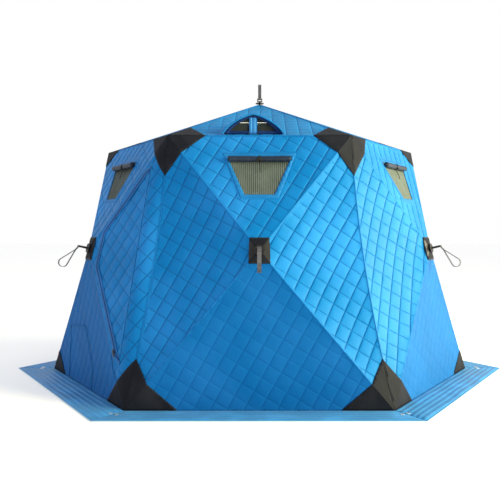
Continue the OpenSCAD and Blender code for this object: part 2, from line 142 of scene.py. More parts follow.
def wall_surface(k, xy, h):
    """Points on wall k's cloth, lifted by h, and how far each follows the wall's hub."""
    facet, up, along = on_wall(xy)
    side = np.where(facet == RIGHT_FACET, 1.0, np.where(facet == LEFT_FACET, -1.0, 0.0))
    fall = 1 - up
    follow = up.copy()
    if k == DOOR:
        late = np.clip((up - FOLD) / (1 - FOLD), 0, 1)
        near = np.where(facet == BASE_FACET, along, np.where(facet == TOP_FACET, 1 - along, 0))
        follow = (1 - near) * up + near * late
        at_door = facet == RIGHT_FACET
        fall = np.where(at_door, np.clip(1 - up / FOLD, 0, 1) ** 2, fall)
        follow = np.where(at_door, 0, follow)
    sag = SAG * 4 * along * (1 - along) * fall
    third = math.cos(math.radians(30))
    p = np.stack([
        xy[:, 0] - side * 0.5 * sag,
        xy[:, 1] + abs(side) * third * math.sin(TILT) * sag,
        BULGE * up + h - abs(side) * third * math.cos(TILT) * sag,
    ], 1)
    return from_wall(k, p), follow


def to_segments(xy, segments):
    """Distance from each point to the nearest of several segments."""
    best = np.full(len(xy), 9.0)
    for a, b in segments:
        a, b = np.array(a, float), np.array(b, float)
        t = np.clip(((xy - a) @ (b - a)) / ((b - a) @ (b - a)), 0, 1)
        best = np.minimum(best, np.linalg.norm(xy - a - t[:, None] * (b - a), axis=1))
    return best


def ring_lines(outline):
    return [(outline[i], outline[(i + 1) % len(outline)]) for i in range(len(outline))]


def quilt_place(xy, cell, turn):
    """Place in cells, across the deep rows and across the shallow ones."""
    a, b = math.radians(turn - 90), math.radians(turn)
    return (xy @ (math.cos(a), math.sin(a))) / cell, (xy @ (math.cos(b), math.sin(b))) / cell


def quilt_relief(a, b, cell, border, seed, deep=DEEP):
    """Padded squares between rows of stitching, flat at the borders, with slack and small pulls."""
    da, db = np.abs(a - np.round(a)) * cell, np.abs(b - np.round(b)) * cell
    rows = 1 - np.exp(-da / 0.0085)
    cross = 1 - 0.55 * np.exp(-db / 0.011)
    ca, cb = np.floor(a), np.floor(b)
    puff = 0.85 + 0.15 * np.sin(ca * 12.9898 + cb * 78.233 + seed)
    pulls = 0.0007 * np.sin(a * 0.9 + 1.7 * np.sin(b * 0.55 + seed) + seed) * np.cos(b * 0.43 + seed * 2)
    return smooth(border / 0.02) * (deep * rows * cross * puff - 0.86 * deep + pulls)


# ---------- flat cutting of the cloth ----------

def knife(bm, a, b, clear=False):
    """Cuts along the line from a to b; clear drops everything on its right."""
    bmesh.ops.bisect_plane(
        bm, geom=bm.verts[:] + bm.edges[:] + bm.faces[:], dist=1e-6,
        plane_co=(a[0], a[1], 0), plane_no=(b[1] - a[1], a[0] - b[0], 0), clear_outer=clear,
    )


def inside(xy, outline):
    """Whether each point lies in a convex outline that runs anticlockwise."""
    held = np.ones(len(xy), bool)
    for a, b in ring_lines(outline):
        held &= (b[0] - a[0]) * (xy[:, 1] - a[1]) - (b[1] - a[1]) * (xy[:, 0] - a[0]) > -1e-9
    return held


def middles(bm):
    return np.array([f.calc_center_median()[:2] for f in bm.faces])


def drop(bm, test):
    """Deletes the faces whose middles pass a test."""
    gone = test(middles(bm))
    bmesh.ops.delete(bm, geom=[f for f, g in zip(bm.faces[:], gone) if g], context="FACES")


def mark_creases(bm):
    """Sharp edges wherever two facets of a wall meet."""
    facet = on_wall(middles(bm))[0]
    bm.faces.index_update()
    for e in bm.edges:
        f = e.link_faces
        if len(f) == 2 and facet[f[0].index] != facet[f[1].index]:
            e.smooth = False


def ticks(low, high, cell, shares):
    first, last = math.floor(low / cell), math.ceil(high / cell)
    return np.array([(i + s) * cell for i in range(first, last) for s in shares])


def cut_flat(outline, lines=(), holes=(), cell=CELL, turn=TURN, shares=FINE):
    """Grid along a quilt's own directions, cut to a convex outline, along lines and round convex holes."""
    outline = np.array(outline, float)
    a, b = math.radians(turn - 90), math.radians(turn)
    across, along = np.array((math.cos(a), math.sin(a))), np.array((math.cos(b), math.sin(b)))
    s, t = outline @ across, outline @ along
    xs = ticks(s.min() - cell, s.max() + cell, cell, shares)
    ys = ticks(t.min() - cell, t.max() + cell, cell, shares)
    gx, gy = np.meshgrid(xs, ys, indexing="ij")
    flat = gx.ravel()[:, None] * across + gy.ravel()[:, None] * along
    i, j = np.meshgrid(np.arange(len(xs) - 1), np.arange(len(ys) - 1), indexing="ij")
    at = (i * len(ys) + j).ravel()
    faces = np.stack([at, at + len(ys), at + len(ys) + 1, at + 1], 1)
    mesh = bpy.data.meshes.new("grid")
    mesh.from_pydata(np.c_[flat, np.zeros(len(flat))].tolist(), [], faces.tolist())
    bm = bmesh.new()
    bm.from_mesh(mesh)
    bpy.data.meshes.remove(mesh)
    for p, q in ring_lines(outline):
        knife(bm, p, q, True)
    for p, q in lines:
        knife(bm, p, q)
    for hole in holes:
        for p, q in ring_lines(hole):
            knife(bm, p, q)
    if holes:
        drop(bm, lambda xy: np.any([inside(xy, hole) for hole in holes], axis=0))
    return bm


# ---------- making pieces ----------

def grid_faces(rows, cols, loop=False, flip=False):
    """Faces of a grid of points, row by row. loop joins the ends of each row, flip turns the faces over."""
    faces = []
    for i in range(rows - 1):
        for j in range(cols if loop else cols - 1):
            a, b = i * cols + j, i * cols + (j + 1) % cols
            faces.append((a, a + cols, b + cols, b) if flip else (a, b, b + cols, a + cols))
    return faces


def set_vectors(mesh, key, values):
    mesh.attributes.new(key, "FLOAT_VECTOR", "POINT").data.foreach_set("vector", np.ravel(values))


def thicken(obj, thick, offset=-1):
    made = obj.modifiers.new("thickness", "SOLIDIFY")
    made.thickness, made.offset = thick, offset


def add_piece(name, mesh, material):
    mesh.materials.append(material)
    mesh.update()
    obj = bpy.data.objects.new(name, mesh)
    bpy.context.scene.collection.objects.link(obj)
    return obj


def finish_cloth(name, bm, lift, material, thick=0.004):
    """Lifts flat cloth into place. lift(xy) gives points, weights and marks: a, b, border and perhaps a fourth
    mark, 0 on the bottom wall facets that the quilted cloth darkens as painted shade.
    """
    for f in bm.faces:
        f.smooth = True
    mesh = bpy.data.meshes.new(name)
    bm.to_mesh(mesh)
    bm.free()
    flat = np.empty(len(mesh.vertices) * 3)
    mesh.vertices.foreach_get("co", flat)
    xy = flat.reshape(-1, 3)[:, :2]
    points, weights, marks = lift(xy)
    mesh.vertices.foreach_set("co", points.ravel())
    # fourth mark: 0 where painted shade darkens a bottom facet, 1 elsewhere
    unshaded = marks[3] if len(marks) > 3 else np.ones(len(xy))
    set_vectors(mesh, "quilt", np.stack(marks[:3], 1))
    set_vectors(mesh, "flat", np.c_[xy, unshaded])
    obj = add_piece(name, mesh, material)
    thicken(obj, thick)
    return obj, weights


def even_blend(obj):
    """Bakes the piece's placement into its mesh."""
    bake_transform(obj)


def solid(name, points, faces, material, slot, smooth_faces=True):
    mesh = bpy.data.meshes.new(name)
    mesh.from_pydata(np.asarray(points, float).tolist(), [], [list(f) for f in faces])
    for p in mesh.polygons:
        p.use_smooth = smooth_faces
    return add_piece(name, mesh, material)


def with_marks(obj, place, border=0.5):
    """Gives a piece its place on the cloth and its distance from a border, for the cloth materials."""
    marks = np.c_[place[:, :2], np.broadcast_to(border, len(place))]
    for key in ("flat", "quilt"):
        set_vectors(obj.data, key, marks)
    return obj


def cloth_solid(name, points, faces, material, slot, smooth_faces=True):
    return with_marks(solid(name, points, faces, material, slot, smooth_faces), points)


def sweep(path, radius, sides=8, closed=False):
    """Round tube along a path: points and faces."""
    path = np.asarray(path, float)
    n = len(path)
    ahead = np.roll(path, -1, 0) - np.roll(path, 1, 0)
    if not closed:
        ahead[0], ahead[-1] = path[1] - path[0], path[-1] - path[-2]
    ahead = unit(ahead)
    side = unit(np.cross(ahead, (0.13, 0.21, 0.97)))
    up = np.cross(side, ahead)
    turn = np.arange(sides) * 2 * math.pi / sides
    ring = np.cos(turn)[None, :, None] * side[:, None] + np.sin(turn)[None, :, None] * up[:, None]
    radius = np.broadcast_to(np.asarray(radius, float), (n,))
    points = (path[:, None] + ring * radius[:, None, None]).reshape(-1, 3)
    faces = [tuple(v % (n * sides) for v in f) for f in grid_faces(n + closed, sides, loop=True)]
    if not closed:
        faces += [tuple(range(sides))[::-1], tuple(range((n - 1) * sides, n * sides))]
    return points, faces


def joined(parts):
    """Several (points, faces) as one."""
    points, faces, start = [], [], 0
    for p, f in parts:
        points.append(np.asarray(p, float))
        faces += [tuple(i + start for i in face) for face in f]
        start += len(p)
    return np.concatenate(points), faces


def ribbon(line, width, step=0.012):
    """Flat strip along a line of points: its points and faces, before it is lifted onto the cloth."""
    dense = [line[0]]
    for p, q in zip(line[:-1], line[1:]):
        n = max(1, round(math.dist(p, q) / step))
        dense += [tuple(np.array(p) + (np.array(q) - p) * i / n) for i in range(1, n + 1)]
    dense = np.array(dense)
    ahead = unit(np.gradient(dense, axis=0))
    side = np.stack([-ahead[:, 1], ahead[:, 0]], 1) * width / 2
    return np.concatenate([dense - side, dense, dense + side]), grid_faces(3, len(dense))


# ---------- materials ----------

def shade(colour, gain, lift=0.0):
    return tuple(min(1, c * gain + lift) for c in colour)


class Paint:
    """A material's nodes, with short ways to add and join them. Colours are given as (red, green, blue)."""

    def __init__(self, name):
        self.material = bpy.data.materials.new(name)
        self.material.use_nodes = True
        self.tree = self.material.node_tree
        self.shader = self.tree.nodes["Principled BSDF"]

    def put(self, value, socket):
        """Joins a node's output to a socket, or sets the socket's own value."""
        if isinstance(value, bpy.types.NodeSocket):
            self.tree.links.new(value, socket)
        else:
            socket.default_value = (*value, 1) if isinstance(value, tuple) else value

    def node(self, kind, inputs=(), **settings):
        made = self.tree.nodes.new("ShaderNode" + kind)
        for key, value in settings.items():
            setattr(made, key, value)
        for key, value in dict(inputs).items():
            self.put(value, made.inputs[key])
        return made

    def attribute(self, name):
        return self.node("Attribute", attribute_name=name).outputs["Vector"]

    def parts(self, vector):
        return self.node("SeparateXYZ", {"Vector": vector}).outputs[:3]

    def math(self, operation, *values):
        return self.node("Math", dict(enumerate(values)), operation=operation).outputs[0]

    def times(self, first, *others):
        for value in others:
            first = self.math("MULTIPLY", first, value)
        return first

    def wave(self, value, pitch):
        return self.math("SINE", self.times(value, 2 * math.pi / pitch))

    def range(self, value, low, high, to_low=0.0, to_high=1.0):
        inputs = {"Value": value, "From Min": low, "From Max": high, "To Min": to_low, "To Max": to_high}
        return self.node("MapRange", inputs, interpolation_type="SMOOTHSTEP").outputs[0]

    def mix(self, share, a, b):
        return self.node("Mix", {0: share, 6: a, 7: b}, data_type="RGBA").outputs[2]

    def noise(self, where, scale, detail):
        return self.node("TexNoise", {"Vector": where, "Scale": scale, "Detail": detail}).outputs[0]

    def bump(self, height, depth, strength, under=None):
        inputs = {"Height": height, "Distance": depth, "Strength": strength}
        if under is not None:
            inputs["Normal"] = under
        return self.node("Bump", inputs).outputs[0]

    def weave(self, where, pitch):
        """Height of a plain weave with threads of this pitch."""
        x, y, _ = self.parts(where)
        return self.times(self.wave(x, pitch), self.wave(y, pitch), 0.5)

    def surface(self, **values):
        names = {
            "colour": "Base Color", "rough": "Roughness", "normal": "Normal", "metal": "Metallic",
            "specular": "Specular IOR Level", "tint": "Specular Tint", "sheen": "Sheen Weight",
            "sheen_rough": "Sheen Roughness", "sheen_tint": "Sheen Tint", "ior": "IOR",
        }
        for key, value in values.items():
            self.put(value, self.shader.inputs[names[key]])
        return self.material


def quilted(name, base, line, rows=0.52, cross=0.42, rough=0.5, shine=0.38):
    """Coated, padded cloth: rows of stitching in both directions, worn a little between them. Where the line
    colour is dark it is also painted shade in the quilting grooves, and the bottom wall facets get a darker
    painted shade.
    """
    p = Paint(name)
    flat = p.attribute("flat")
    a, b, border = p.parts(p.attribute("quilt"))
    _, _, unshaded = p.parts(flat)
    off_a = p.math("ABSOLUTE", p.math("SUBTRACT", p.math("FRACT", a), 0.5))
    off_b = p.math("ABSOLUTE", p.math("SUBTRACT", p.math("FRACT", b), 0.5))
    row_a, row_b = p.range(off_a, 0.43, 0.49), p.range(off_b, 0.45, 0.495)
    lines = p.math("MAXIMUM", p.times(row_a, rows), p.times(row_b, cross))
    # the lines fade at the borders and, on the painted-shade bottom facets, to about a third
    lines = p.times(lines, p.range(border, 0.003, 0.012), p.range(unshaded, 0, 1, 0.35, 1))
    clouds = p.noise(flat, 3.0, 3.0)
    scuffs = p.range(p.noise(flat, 42.0, 4.0), 0.55, 0.8)
    colour = p.mix(p.range(clouds, 0.35, 0.7), base, shade(base, 1.25, 0.01))
    colour = p.mix(p.times(scuffs, 0.12), colour, shade(base, 1.6, 0.02))
    # line colour along the stitching rows: the stitches themselves and, where it is dark, painted shade in the
    # quilting grooves
    colour = p.mix(lines, colour, line)
    # painted shade: the bottom facets are mixed halfway towards a darker blue
    colour = p.mix(p.range(unshaded, 0, 1, 0.5, 0), colour, (0.0, 0.04, 0.2))
    hem = p.times(p.range(border, 0.0085, 0.0075), p.range(border, 0.0045, 0.0055))
    dash = p.math("GREATER_THAN", p.math("FRACT", p.times(p.math("ADD", a, b), 12.0)), 0.35)
    colour = p.mix(p.times(hem, dash, 0.5), colour, line)
    threads = p.bump(p.weave(flat, 0.0024), 0.0002, 0.5)
    grooves = p.bump(p.times(lines, -1.0), 0.004, 0.9, threads)
    crinkle = p.bump(p.noise(flat, 26.0, 5.0), 0.004, 0.3, grooves)
    dull = p.math("ADD", p.range(clouds, 0.3, 0.75, rough - 0.04, rough + 0.06), p.range(unshaded, 0, 1, 0.18, 0))
    return p.surface(colour=colour, rough=dull, ior=1.3, normal=crinkle, specular=shine,
                     tint=(0.25, 0.8, 1.0), sheen=0.04, sheen_rough=0.45, sheen_tint=(0.4, 0.9, 1.0))


def plain_cloth(name, base, pitch=0.002, rough=0.55, ribs=0.0, rib_pitch=0.02, specular=0.35, hem=None,
                sheen=0.1):
    """Woven cloth on a flat cut: fine threads, faint clouds, stitches beside its edge."""
    p = Paint(name)
    flat = p.attribute("flat")
    a, _, border = p.parts(p.attribute("quilt"))
    x, y, _ = p.parts(flat)
    clouds = p.noise(flat, 7.0, 4.0)
    colour = p.mix(p.range(clouds, 0.4, 0.75), base, shade(base, 1.35, 0.006))
    stitch = p.times(p.range(border, 0.0075, 0.0065), p.range(border, 0.0035, 0.0045))
    dash = p.math("GREATER_THAN", p.math("FRACT", p.times(p.math("ADD", x, y), 160.0)), 0.4)
    colour = p.mix(p.times(stitch, dash, 0.4), colour, shade(base, 1.5, 0.01))
    if hem:
        colour = p.mix(p.range(border, 0.004, 0.002), colour, hem)
    normal = p.bump(p.weave(flat, pitch), 0.0002, 0.6)
    normal = p.bump(p.noise(flat, 30.0, 4.0), 0.003, 0.3, normal)
    if ribs:
        wave = p.wave(a, rib_pitch)
        # painted shade: the rib troughs, where the bump is lowest, are mixed darker
        colour = p.mix(p.times(p.range(wave, 0.6, 1.0), 0.35), colour, shade(base, 0.55))
        normal = p.bump(p.times(wave, -1.0), ribs, 0.7, normal)
    dull = p.range(clouds, 0.3, 0.7, rough - 0.05, rough + 0.05)
    return p.surface(colour=colour, rough=dull, normal=normal, specular=specular, sheen=sheen, sheen_rough=0.5)


def ribbed_mesh(name, base, dark, pitch):
    """Mesh held by fine upright ribs."""
    p = Paint(name)
    flat = p.attribute("flat")
    wave = p.wave(p.parts(flat)[0], pitch)
    clouds = p.noise(flat, 9.0, 3.0)
    colour = p.mix(p.range(wave, -0.6, 0.9), base, dark)
    colour = p.mix(p.range(clouds, 0.35, 0.75, 0, 0.45), colour, shade(base, 1.4))
    normal = p.bump(wave, 0.0012, 0.6, p.bump(p.weave(flat, 0.0016), 0.0002, 0.8))
    return p.surface(colour=colour, rough=p.range(clouds, 0.3, 0.7, 0.55, 0.7), normal=normal, specular=0.12)


def made_of(name, base, rough=0.5, metal=0.0, grain=0.0006, specular=0.5, wear=0.25, worn=None):
    """Moulded, drawn or pressed stuff, with a grain and rubbed places."""
    p = Paint(name)
    where = p.node("TexCoord").outputs["Object"]
    clouds = p.noise(where, 14.0, 4.0)
    colour = p.mix(p.range(clouds, 0.5, 0.78, 0, wear), base, worn or shade(base, 2, 0.03))
    normal = p.bump(p.noise(where, 540.0, 3.0), grain, 0.5)
    return p.surface(colour=colour, rough=p.range(clouds, 0.3, 0.75, rough - 0.06, rough + 0.1), metal=metal,
                     normal=normal, specular=specular)


def webbing(name, base, line):
    """Woven tape: a twill across it and a finer cross thread."""
    p = Paint(name)
    where = p.node("TexCoord").outputs["Object"]
    x, y, z = p.parts(where)
    twill = p.wave(p.math("ADD", p.math("ADD", x, y), p.times(z, 1.6)), 0.0032)
    cross = p.wave(p.math("SUBTRACT", x, z), 0.0021)
    clouds = p.noise(where, 40.0, 4.0)
    colour = p.mix(p.range(twill, -0.5, 0.9), base, line)
    colour = p.mix(p.range(clouds, 0.5, 0.8, 0, 0.3), colour, shade(base, 2, 0.02))
    normal = p.bump(p.math("ADD", twill, p.times(cross, 0.6)), 0.0003, 0.7)
    return p.surface(colour=colour, rough=p.range(clouds, 0.3, 0.7, 0.5, 0.65), normal=normal,
                     specular=0.4, sheen=0.25, sheen_rough=0.4)


# dark line colour on the walls: stitching plus painted shade in the quilting grooves
WALL_CLOTH = quilted("wall_cloth", (0.002, 0.125, 0.38), (0.001, 0.045, 0.18))
ROOF_CLOTH = quilted("roof_cloth", (0.003, 0.13, 0.36), (0.01, 0.2, 0.5), rows=0.6, cross=0.25, rough=0.6,
                     shine=0.12)
HOOD_CLOTH = plain_cloth("hood_cloth", (0.003, 0.12, 0.36), specular=0.3, sheen=0.04)
FRAME_CLOTH = plain_cloth("window_frame_cloth", (0.002, 0.115, 0.34), rough=0.6, specular=0.15, sheen=0.0)
SKIRT_CLOTH = plain_cloth("skirt_cloth", (0.012, 0.17, 0.42), ribs=0.002, rib_pitch=0.033, specular=0.3,
                          hem=(0.45, 0.62, 0.75), sheen=0.04)
BOOT_CLOTH = plain_cloth("boot_cloth", (0.005, 0.006, 0.011), rough=0.65, specular=0.1, sheen=0.0)
PIPING_CLOTH = plain_cloth("piping_cloth", (0.002, 0.11, 0.34), rough=0.7, specular=0.1, sheen=0.0)
ROLL_CLOTH = plain_cloth("cover_cloth", (0.004, 0.012, 0.032), rough=0.5, specular=0.25, sheen=0.0)
LINING = plain_cloth("vent_lining", (0.002, 0.016, 0.09), rough=0.6, specular=0.1, sheen=0.0)
WINDOW_MESH = ribbed_mesh("window_mesh", (0.088, 0.108, 0.1), (0.035, 0.045, 0.042), 0.0105)
VENT_MESH = ribbed_mesh("vent_mesh", (0.014, 0.02, 0.022), (0.006, 0.009, 0.01), 0.006)
BLACK_PLASTIC = made_of("black_plastic", (0.008, 0.008, 0.01), rough=0.45, specular=0.25)
ROD = made_of("fibreglass_rod", (0.62, 0.62, 0.58), rough=0.28, grain=0.0003, wear=0.4,
              worn=(0.45, 0.45, 0.42))
NICKEL = made_of("pressed_nickel", (0.72, 0.72, 0.70), rough=0.34, metal=0.9, grain=0.0002)
ENAMEL = made_of("black_enamel", (0.02, 0.02, 0.022), rough=0.3, wear=0.15)
TAPE = webbing("strap_webbing", (0.022, 0.022, 0.034), (0.07, 0.07, 0.1))
ZIP_TAPE = plain_cloth("zip_tape", (0.002, 0.09, 0.3), pitch=0.0015, rough=0.6, specular=0.3, sheen=0.0)
ZIP_TEETH = made_of("zip_teeth", (0.002, 0.05, 0.19), rough=0.4)
WHITE_TAPE = plain_cloth("white_tape", (0.7, 0.74, 0.8), pitch=0.0015, rough=0.6)
STRAP_CLOTH = plain_cloth("prop_cloth", (0.004, 0.11, 0.34), specular=0.3, sheen=0.04)
PALE_CLOTH = plain_cloth("prop_edging", (0.06, 0.28, 0.6), specular=0.3, sheen=0.04)


# ---------- camera ----------

camera = bpy.data.objects.new("camera", bpy.data.cameras.new("camera"))
camera.data.lens, camera.data.sensor_width, camera.data.shift_x = 52.6, 36, -0.0214
camera.location = (0.0063, -4.617, 0.8474)
camera.rotation_euler = (math.radians(90) - 0.021, 0, 0)
bpy.context.scene.collection.objects.link(camera)
bpy.context.scene.camera = camera


# ---------- walls ----------

POLE_LINES = [(tuple(p), tuple(HUB)) for p in OUTLINE]
TOP_COS = math.cos(math.atan(BULGE / (SLANT - HUB[1])))
HUB_HOLE = [(HUB[0] + HUB_HOLE_R * math.cos(t), HUB[1] + HUB_HOLE_R * math.sin(t))
            for t in np.arange(8) * math.pi / 4]
ROLL_Y = SLANT - (WINDOW_DROP + 0.018) * TOP_COS
ROLL_LEVEL = on_wall(np.array([(0, ROLL_Y)]))[1][0]

# The door, on its own flat facet: X up the fold line, Y towards the hub
WALL3 = [np.array((p[0], p[1], 0.0)) for p in OUTLINE]
HUB3 = np.array((0, HUB[1], BULGE))
FOLD_LOW = WALL3[1] + FOLD * (HUB3 - WALL3[1])
FOLD_HIGH = WALL3[2] + FOLD * (HUB3 - WALL3[2])
DOOR_FAR = float(np.linalg.norm(FOLD_HIGH - FOLD_LOW))
DOOR_X = unit(FOLD_HIGH - FOLD_LOW)
DOOR_Z = unit(np.cross(DOOR_X, HUB3 - FOLD_LOW))
DOOR_Y = np.cross(DOOR_Z, DOOR_X)


def window(grow):
    """Window outline on the wall, grown on every side."""
    high, low = SLANT - (WINDOW_DROP - grow) * TOP_COS, SLANT - (WINDOW_DROP + WINDOW_HIGH + grow) * TOP_COS
    wide, narrow = WINDOW_TOP / 2 + grow * 1.15, WINDOW_LOW / 2 + grow
    return [(-narrow, low), (narrow, low), (wide, high), (-wide, high)]


def beyond_fold(xy):
    facet, up, _ = on_wall(xy)
    return (facet == RIGHT_FACET) & (up > FOLD)


def wall_cuts(k):
    """Lines along the poles and along both sides of them, and the door's fold line."""
    lines = [(corner, HUB) for corner in OUTLINE]
    for corner in OUTLINE:
        off = unit(np.array((corner[1] - HUB[1], HUB[0] - corner[0]))) * 0.006
        lines += [(corner + off, HUB + off), (corner - off, HUB - off)]
    return lines + [(FOLD_LOW[:2], FOLD_HIGH[:2])] if k == DOOR else lines


def wall_lift(k):
    """Padded squares on the tensioned facets, the bottom one flatter than the others."""
    rims = POLE_LINES + ring_lines([tuple(p) for p in OUTLINE]) + ring_lines(window(0.02))

    def lift(xy):
        facet, up, along = on_wall(xy)
        a, b = quilt_place(xy, CELL, TURN)
        border = to_segments(xy, rims)
        deep = np.where(facet == BASE_FACET, DEEP * 0.55, DEEP)
        relief = quilt_relief(a, b, CELL, border, 1.3 * k, deep)
        corners = 27 * up * (1 - up) ** 2 * along * (1 - along)
        taut = -0.006 * corners * np.where(facet == TOP_FACET, 0.0, 1.0)
        if k == DOOR:
            taut = np.where(facet == RIGHT_FACET, 0, taut)
            relief = np.where(facet == RIGHT_FACET, relief * smooth((FOLD - up) / 0.03), relief)
        points, weights = wall_surface(k, xy, relief + taut)
        # last mark is 0 on the bottom facet, which the wall cloth darkens as painted shade
        return points, weights, (a, b, border, np.where(facet == BASE_FACET, 0.0, 1.0))
    return lift


def follow_hub(obj):
    even_blend(obj)
    return obj


def laid_on(k, rims, height):
    """Lift for cloth that lies on wall k, height(xy, distance from rims) off it."""
    def lift(xy):
        rim = to_segments(xy, rims)
        points, weights = wall_surface(k, xy, height(xy, rim))
        return points, weights, (xy[:, 0], xy[:, 1], rim)
    return lift


def wall_piece(name, k, bm, lift, material, thick=0.004):
    """Cloth on wall k."""
    cloth, weights = finish_cloth(f"{name}_{WALLS[k]}", bm, lift, material, thick)
    return follow_hub(cloth)


def window_cover(k):
    """Loose roll above a window, whose ends show its turns."""
    t = np.arange(ROLL_SIDES) * 2 * math.pi / ROLL_SIDES
    count = ROLL_RINGS * ROLL_SIDES
    ends = [tuple(range(ROLL_SIDES)), tuple(range(count - ROLL_SIDES, count))[::-1]]
    parts = []
    for radius, half in ROLL_TURNS:
        x = np.linspace(-half, half, ROLL_RINGS)[:, None]
        tight = 1 - 0.2 * np.exp(-(x / 0.016) ** 2)
        r = radius * tight * (1 + 0.035 * np.sin(x * 70 + k) + 0.02 * np.sin(x * 173 + 2 * k))
        r = r * (1 + 0.045 * np.sin(t * 2 + 0.5) + 0.05 * (t / 6.283))
        y = ROLL_Y + r * np.cos(t) - 0.0015 * (1 - (x / half) ** 2)
        z = BULGE * ROLL_LEVEL + ROLL_OUT + r * np.sin(t)
        p = np.stack([np.repeat(x, ROLL_SIDES, 1), y, z], -1).reshape(-1, 3)
        parts.append((from_wall(k, p), grid_faces(ROLL_RINGS, ROLL_SIDES, loop=True, flip=True) + ends))
    points, faces = joined(parts)
    roll = solid(f"window_cover_{WALLS[k]}", points, faces, ROLL_CLOTH, "roll_fabric")
    u, v = np.meshgrid(np.linspace(-0.16, 0.16, ROLL_RINGS), np.arange(ROLL_SIDES) * 0.004, indexing="ij")
    place = np.tile(np.c_[u.ravel(), v.ravel(), np.zeros(u.size)], (len(ROLL_TURNS), 1))
    set_vectors(roll.data, "flat", place)
    set_vectors(roll.data, "quilt", np.full(place.shape, 0.5))
    return follow_hub(roll)


def window_tie(k):
    """Cord round the roll, with a hanging end and a toggle."""
    t = np.linspace(0, 2 * math.pi, 25)[:-1]
    out = BULGE * ROLL_LEVEL
    tubes = []
    for x in (-0.0055, -0.0018, 0.0018, 0.0055):
        hoop = np.stack([np.full(24, x), ROLL_Y + 0.0128 * np.cos(t), out + ROLL_OUT + 0.0128 * np.sin(t)], 1)
        tubes.append(sweep(hoop, 0.0021, 6, True))
    low = np.linspace(0, 1, 12)
    rise = BULGE * low * 0.062 / (SLANT - HUB[1])
    stands_off = out + rise + 0.006 + 0.004 * np.sin(low * 3)
    tail = np.stack([0.004 * np.sin(low * 2.2), ROLL_Y - 0.012 - 0.062 * low, stands_off], 1)
    tubes.append(sweep(tail, 0.0019, 6))
    bar = np.stack([np.linspace(-0.017, 0.017, 9), np.full(9, ROLL_Y - 0.012), np.full(9, out + 0.0278)], 1)
    tubes.append(sweep(bar, 0.0042 * np.array((0.6, 0.95, 1, 1, 0.8, 1, 1, 0.95, 0.6)), 10))
    points, faces = joined(tubes)
    tie = solid(f"window_tie_{WALLS[k]}", from_wall(k, points), faces, BLACK_PLASTIC, "hub_plastic")
    follow_hub(tie)


def half_boot(place, side):
    """Corners of half a boot: the wall's corner, then on the eave or hem, the pole and the corner seam."""
    along_edge, along_pole, along_seam = BOOTS[place]
    corner = OUTLINE[{("base", -1): 0, ("base", 1): 1, ("top", 1): 2, ("top", -1): 3}[place, side]]
    other = OUTLINE[{("base", -1): 3, ("base", 1): 2, ("top", 1): 1, ("top", -1): 0}[place, side]]
    pole = math.hypot(np.linalg.norm(HUB - corner), BULGE)
    return (corner, corner - (side * along_edge, 0), corner + (HUB - corner) * along_pole / pole,
            corner + (other - corner) * along_seam / SEAM)


def stitched(triangles):
    """One flat mesh of several triangles, each with a fine grid."""
    whole, spare = bmesh.new(), bpy.data.meshes.new("spare")
    for a, b, c in triangles:
        clockwise = (b[0] - a[0]) * (c[1] - a[1]) < (b[1] - a[1]) * (c[0] - a[0])
        part = cut_flat([c, b, a] if clockwise else [a, b, c], cell=0.014, turn=90, shares=(0,))
        part.to_mesh(spare)
        part.free()
        whole.from_mesh(spare)
    bmesh.ops.remove_doubles(whole, verts=whole.verts[:], dist=1e-5)
    bpy.data.meshes.remove(spare)
    return whole


def boot_height(rim):
    return 0.0016 + 0.0014 * smooth(rim / 0.005)


def wall_boots(place, k):
    """Both corner boots of a wall, folded over the pole lines; the lower ones stop at the ground."""
    triangles, rims = [], []
    for side in (-1, 1):
        corner, edge, notch, seam = half_boot(place, side)
        triangles += [(corner, edge, notch), (corner, notch, seam)]
        rims += [(edge, notch), (notch, seam)]

    def height(xy, rim):
        return boot_height(rim) + 0.0006 * np.sin(xy[:, 0] * 60 + xy[:, 1] * 35 + k) * smooth(rim / 0.02)

    def lift(xy):
        points, weights, marks = laid_on(k, rims, height)(xy)
        if place == "base":
            points[:, 2] = np.maximum(points[:, 2], 0.0)
        return points, weights, marks

    bm = stitched(triangles)
    mark_creases(bm)
    return wall_piece(f"{place}_boots", k, bm, lift, BOOT_CLOTH, 0.0016)


